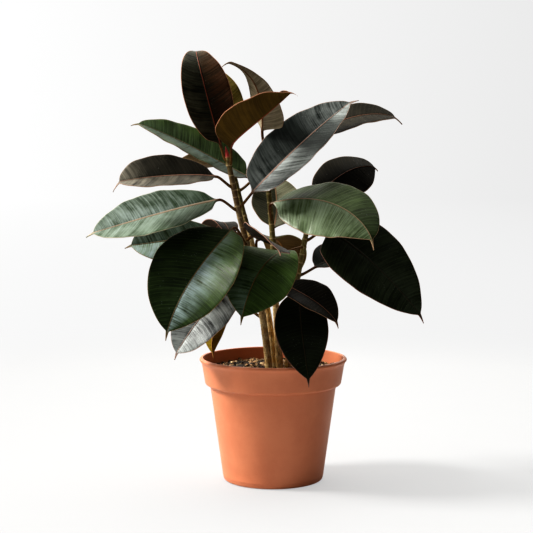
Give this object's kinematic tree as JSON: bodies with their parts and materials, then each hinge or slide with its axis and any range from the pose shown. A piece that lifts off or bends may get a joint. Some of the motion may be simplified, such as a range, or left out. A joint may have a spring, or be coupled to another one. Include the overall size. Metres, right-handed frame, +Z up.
{
  "type": "potted rubber plant",
  "caption": "Potted rubber plant: upright woody stems with large dark glossy oval leaves, standing in soil in a round terracotta-coloured plastic pot with a deep collar.",
  "frame": {"origin": "middle of the pot's flat underside, on the surface that it stands on", "axes": "+Z up along the pot's axis; -Y towards the front, from which the picture was taken; +X to the picture's right"},
  "size_m": [0.4206, 0.2568, 0.5507],
  "materials": {
    "pot_plastic": "terracotta-orange moulded plastic, satin, faintly mottled",
    "potting_mix": "dark brown peat with bark chips and a few pale grains",
    "stem_bark": "golden brown bark with leaf-scar rings, yellow-green higher up",
    "leaf": "near-black green, waxy gloss above, olive brown below, with a pinkish midrib and margin"
  },
  "bodies": {
    "root": {"pot": "pot_plastic", "soil": "potting_mix", "stem_1": "stem_bark", "stem_2": "stem_bark", "stem_3": "stem_bark", "stem_4": "stem_bark", "leaf_01": "leaf", "leaf_02": "leaf", "leaf_03": "leaf", "leaf_04": "leaf", "leaf_05": "leaf", "leaf_06": "leaf", "leaf_07": "leaf", "leaf_08": "leaf", "leaf_09": "leaf", "leaf_10": "leaf", "leaf_11": "leaf", "leaf_12": "leaf", "leaf_13": "leaf", "leaf_14": "leaf", "leaf_15": "leaf", "leaf_16": "leaf", "leaf_17": "leaf", "leaf_18": "leaf", "leaf_19": "leaf", "leaf_20": "leaf", "leaf_21": "leaf", "leaf_22": "leaf", "leaf_23": "leaf", "leaf_24": "leaf", "leaf_25": "leaf"}
  },
  "joints": []
}
